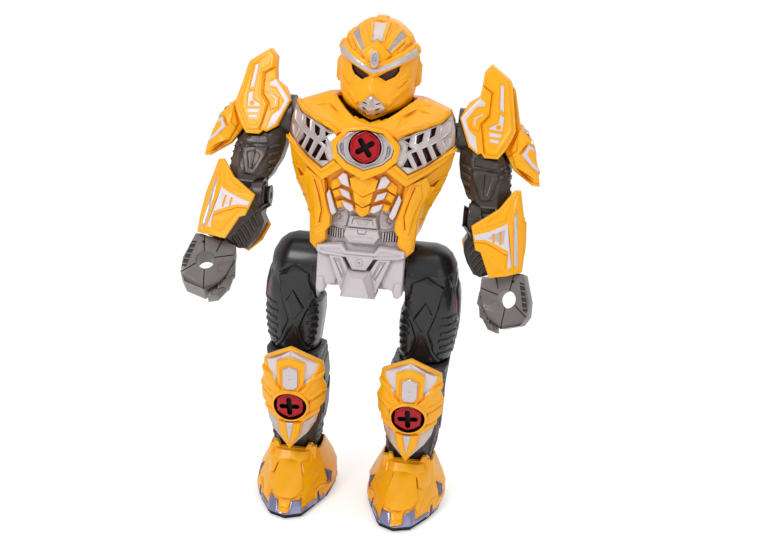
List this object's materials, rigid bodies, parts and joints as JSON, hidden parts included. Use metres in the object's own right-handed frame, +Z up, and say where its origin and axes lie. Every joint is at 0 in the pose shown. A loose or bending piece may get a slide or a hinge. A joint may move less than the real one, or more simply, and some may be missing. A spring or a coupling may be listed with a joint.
{
  "type": "toy robot",
  "caption": "Standing toy robot with swinging arms, turning head, walking legs, shoulder pads, forearm and shin guards, fists with grip holes and hex turn bolts.",
  "frame": {"origin": "on the ground, at the middle of the rectangle the robot covers as it stands at rest", "axes": "+Z up from the soles through the helmet; the robot faces -Y; +X is the robot's own left side"},
  "size_m": [0.243, 0.1073, 0.3496],
  "materials": {
    "yellow_plastic": "semi-gloss moulded plastic",
    "battery_door_plastic": "semi-gloss moulded plastic",
    "light_grey_plastic": "satin moulded plastic",
    "gunmetal_plastic": "satin, metallic grey tint",
    "hand_grey_plastic": "satin moulded plastic",
    "charcoal_plastic": "satin moulded plastic",
    "shin_brown_grey": "satin moulded plastic",
    "chrome_plated": "vacuum plated",
    "silver_paint": "silver paint on plastic",
    "red_plastic": "gloss",
    "dark_red_plastic": "satin",
    "neck_dark": "satin",
    "visor_dark": "dark tinted gloss",
    "sole_black": "matte, moulded",
    "roller_rubber": "moulded rubber",
    "steel": "zinc plated",
    "contact_plate": "nickel plated spring strip",
    "cell_jacket": "printed metal jacket, plain",
    "board_green": "solder mask",
    "speaker_black": "paper cone in a steel basket",
    "motor_can": "plastic gear case and steel motor can",
    "white_nylon": "moulded nylon",
    "switch_black": "moulded"
  },
  "bodies": {
    "torso": {"chest_front_shell": "yellow_plastic", "chest_back_shell": "yellow_plastic", "chest_grille": "chrome_plated", "grille_backing": "dark_red_plastic", "emblem_bezel": "silver_paint", "waist_front": "light_grey_plastic", "waist_back": "light_grey_plastic", "battery_door": "battery_door_plastic", "battery_cells": "cell_jacket", "battery_contacts": "contact_plate", "circuit_board": "board_green", "speaker": "speaker_black", "gear_motor": "motor_can", "hip_axle": "steel", "torso_screws": "steel"},
    "head": {"face_mask": "yellow_plastic", "helmet_back": "yellow_plastic", "eye_visor": "visor_dark", "mouth_plate": "silver_paint", "forehead_jewel": "silver_paint", "neck_post": "neck_dark"},
    "chest_bolt": {"chest_bolt": "red_plastic"},
    "crank": {"drive_crank": "white_nylon"},
    "switch": {"power_switch": "switch_black"},
    "left_arm": {"upper_arm_front_left": "gunmetal_plastic", "upper_arm_back_left": "gunmetal_plastic", "shoulder_pad_left": "yellow_plastic", "shoulder_wing_left": "yellow_plastic"},
    "left_forearm": {"forearm_front_left": "gunmetal_plastic", "forearm_back_left": "gunmetal_plastic", "forearm_guard_left": "yellow_plastic", "elbow_pin_left": "steel"},
    "left_hand": {"hand_left": "hand_grey_plastic"},
    "left_leg": {"thigh_front_left": "charcoal_plastic", "thigh_back_left": "charcoal_plastic", "shin_front_left": "shin_brown_grey", "shin_back_left": "shin_brown_grey", "shin_guard_left": "yellow_plastic", "foot_shell_left": "yellow_plastic", "foot_sole_left": "sole_black"},
    "left_shin_bolt": {"shin_bolt_left": "red_plastic"},
    "left_roller": {"foot_roller_left": "roller_rubber"},
    "right_arm": {"upper_arm_front_right": "gunmetal_plastic", "upper_arm_back_right": "gunmetal_plastic", "shoulder_pad_right": "yellow_plastic", "shoulder_wing_right": "yellow_plastic"},
    "right_forearm": {"forearm_front_right": "gunmetal_plastic", "forearm_back_right": "gunmetal_plastic", "forearm_guard_right": "yellow_plastic", "elbow_pin_right": "steel"},
    "right_hand": {"hand_right": "hand_grey_plastic"},
    "right_leg": {"thigh_front_right": "charcoal_plastic", "thigh_back_right": "charcoal_plastic", "shin_front_right": "shin_brown_grey", "shin_back_right": "shin_brown_grey", "shin_guard_right": "yellow_plastic", "foot_shell_right": "yellow_plastic", "foot_sole_right": "sole_black"},
    "right_shin_bolt": {"shin_bolt_right": "red_plastic"},
    "right_roller": {"foot_roller_right": "roller_rubber"}
  },
  "joints": [
    {"name": "neck_swivel", "type": "hinge", "parent": "torso", "child": "head", "pos_m": [0, 0.01965, 0.27], "axis": [0, 0, 1], "range_deg": [-22, 22]},
    {"name": "chest_bolt_turn", "type": "hinge", "parent": "torso", "child": "chest_bolt", "pos_m": [0, -0.02835, 0.2654], "axis": [0, 1, 0], "continuous": true},
    {"name": "crank_turn", "type": "hinge", "parent": "torso", "child": "crank", "pos_m": [0.018, 0.01965, 0.205], "axis": [1, 0, 0], "continuous": true},
    {"name": "power_switch_slide", "type": "slide", "parent": "torso", "child": "switch", "axis": [1, 0, 0], "range_m": [0, 0.003]},
    {"name": "left_shoulder", "type": "hinge", "parent": "torso", "child": "left_arm", "pos_m": [0.055, 0.02165, 0.276], "axis": [-1, 0, 0], "range_deg": [-34.84, 155.16]},
    {"name": "left_elbow", "type": "hinge", "parent": "left_arm", "child": "left_forearm", "pos_m": [0.084, 0.00469, 0.21924], "axis": [-1, 0, 0], "range_deg": [-6.6, 23.4]},
    {"name": "left_wrist", "type": "hinge", "parent": "left_forearm", "child": "left_hand", "pos_m": [0.09719, -0.00755, 0.18576], "axis": [0.3287, -0.3133, -0.8909], "range_deg": [-40, 40]},
    {"name": "left_hip", "type": "hinge", "parent": "torso", "child": "left_leg", "pos_m": [0.045, 0.01365, 0.172], "axis": [-1, 0, 0], "range_deg": [-12, 12]},
    {"name": "left_shin_bolt_turn", "type": "hinge", "parent": "left_leg", "child": "left_shin_bolt", "pos_m": [0.0418, -0.02692, 0.0793], "axis": [0, 0.9766, 0.2149], "continuous": true},
    {"name": "left_roller_spin", "type": "hinge", "parent": "left_leg", "child": "left_roller", "pos_m": [0.042, 0.01365, 0.009], "axis": [1, 0, 0], "continuous": true},
    {"name": "right_shoulder", "type": "hinge", "parent": "torso", "child": "right_arm", "pos_m": [-0.055, 0.02165, 0.276], "axis": [-1, 0, 0], "range_deg": [-45.16, 144.84]},
    {"name": "right_elbow", "type": "hinge", "parent": "right_arm", "child": "right_forearm", "pos_m": [-0.084, -0.00521, 0.2232], "axis": [-1, 0, 0], "range_deg": [-13.4, 16.6]},
    {"name": "right_wrist", "type": "hinge", "parent": "right_forearm", "child": "right_hand", "pos_m": [-0.09719, -0.02676, 0.1948], "axis": [-0.3287, -0.5617, -0.7592], "range_deg": [-40, 40]},
    {"name": "right_hip", "type": "hinge", "parent": "torso", "child": "right_leg", "pos_m": [-0.045, 0.01365, 0.172], "axis": [-1, 0, 0], "range_deg": [-12, 12]},
    {"name": "right_shin_bolt_turn", "type": "hinge", "parent": "right_leg", "child": "right_shin_bolt", "pos_m": [-0.0418, -0.02692, 0.0793], "axis": [0, 0.9766, 0.2149], "continuous": true},
    {"name": "right_roller_spin", "type": "hinge", "parent": "right_leg", "child": "right_roller", "pos_m": [-0.042, 0.01365, 0.009], "axis": [1, 0, 0], "continuous": true}
  ],
  "couplings": [
    {"joint": "right_hip", "follows": "left_hip", "ratio": -1}
  ]
}
